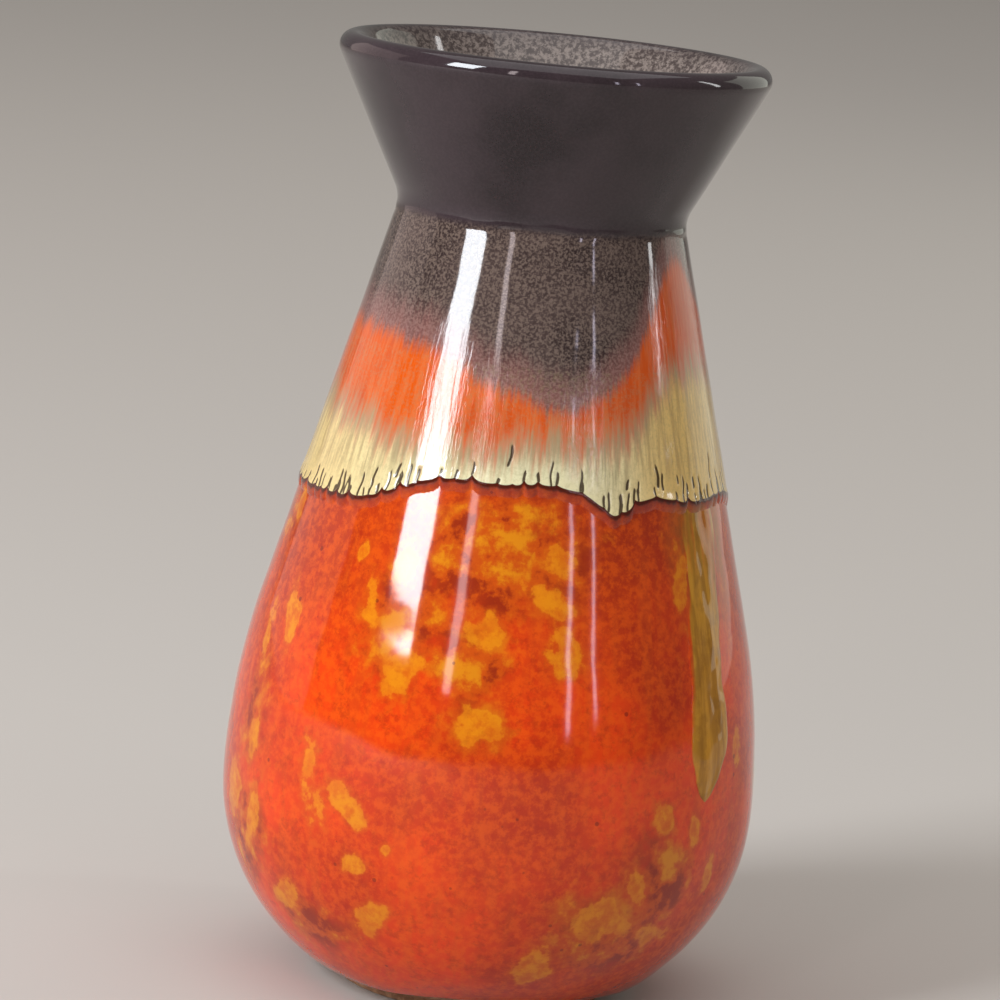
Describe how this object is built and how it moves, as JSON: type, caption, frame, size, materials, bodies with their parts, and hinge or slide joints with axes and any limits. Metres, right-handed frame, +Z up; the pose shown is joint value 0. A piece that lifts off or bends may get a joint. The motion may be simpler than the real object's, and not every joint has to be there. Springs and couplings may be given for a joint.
{
  "type": "ceramic bud vase",
  "caption": "Footed pear-shaped stoneware vase with a pinched throat, a flared collar with a rolled lip, and layered running glazes over the clay.",
  "frame": {"origin": "centre of the foot ring, on the surface the vase stands on", "axes": "+Z up along the axis the vase was thrown on, -Y towards the viewer, the ochre run to the right of it"},
  "size_m": [0.1024, 0.1022, 0.18],
  "materials": {
    "fired_clay": "bare fired stoneware, matte, fine grog",
    "liner_glaze": "satin grey-brown liner glaze with fine pale fleck",
    "orange_glaze": "high gloss orange-red glaze, mottled, with yellow-orange islands",
    "cream_glaze": "gloss cream to khaki glaze, streaked, crazed at its ragged lower edge",
    "dark_glaze": "gloss aubergine-brown glaze, flecked grey over the shoulder",
    "ochre_glaze": "clear gloss ochre run, thick and raised"
  },
  "bodies": {
    "root": {"clay_body": "fired_clay", "inner_glaze": "liner_glaze", "body_glaze": "orange_glaze", "cream_band_glaze": "cream_glaze", "collar_glaze": "dark_glaze", "ochre_glaze_run": "ochre_glaze"}
  },
  "joints": []
}
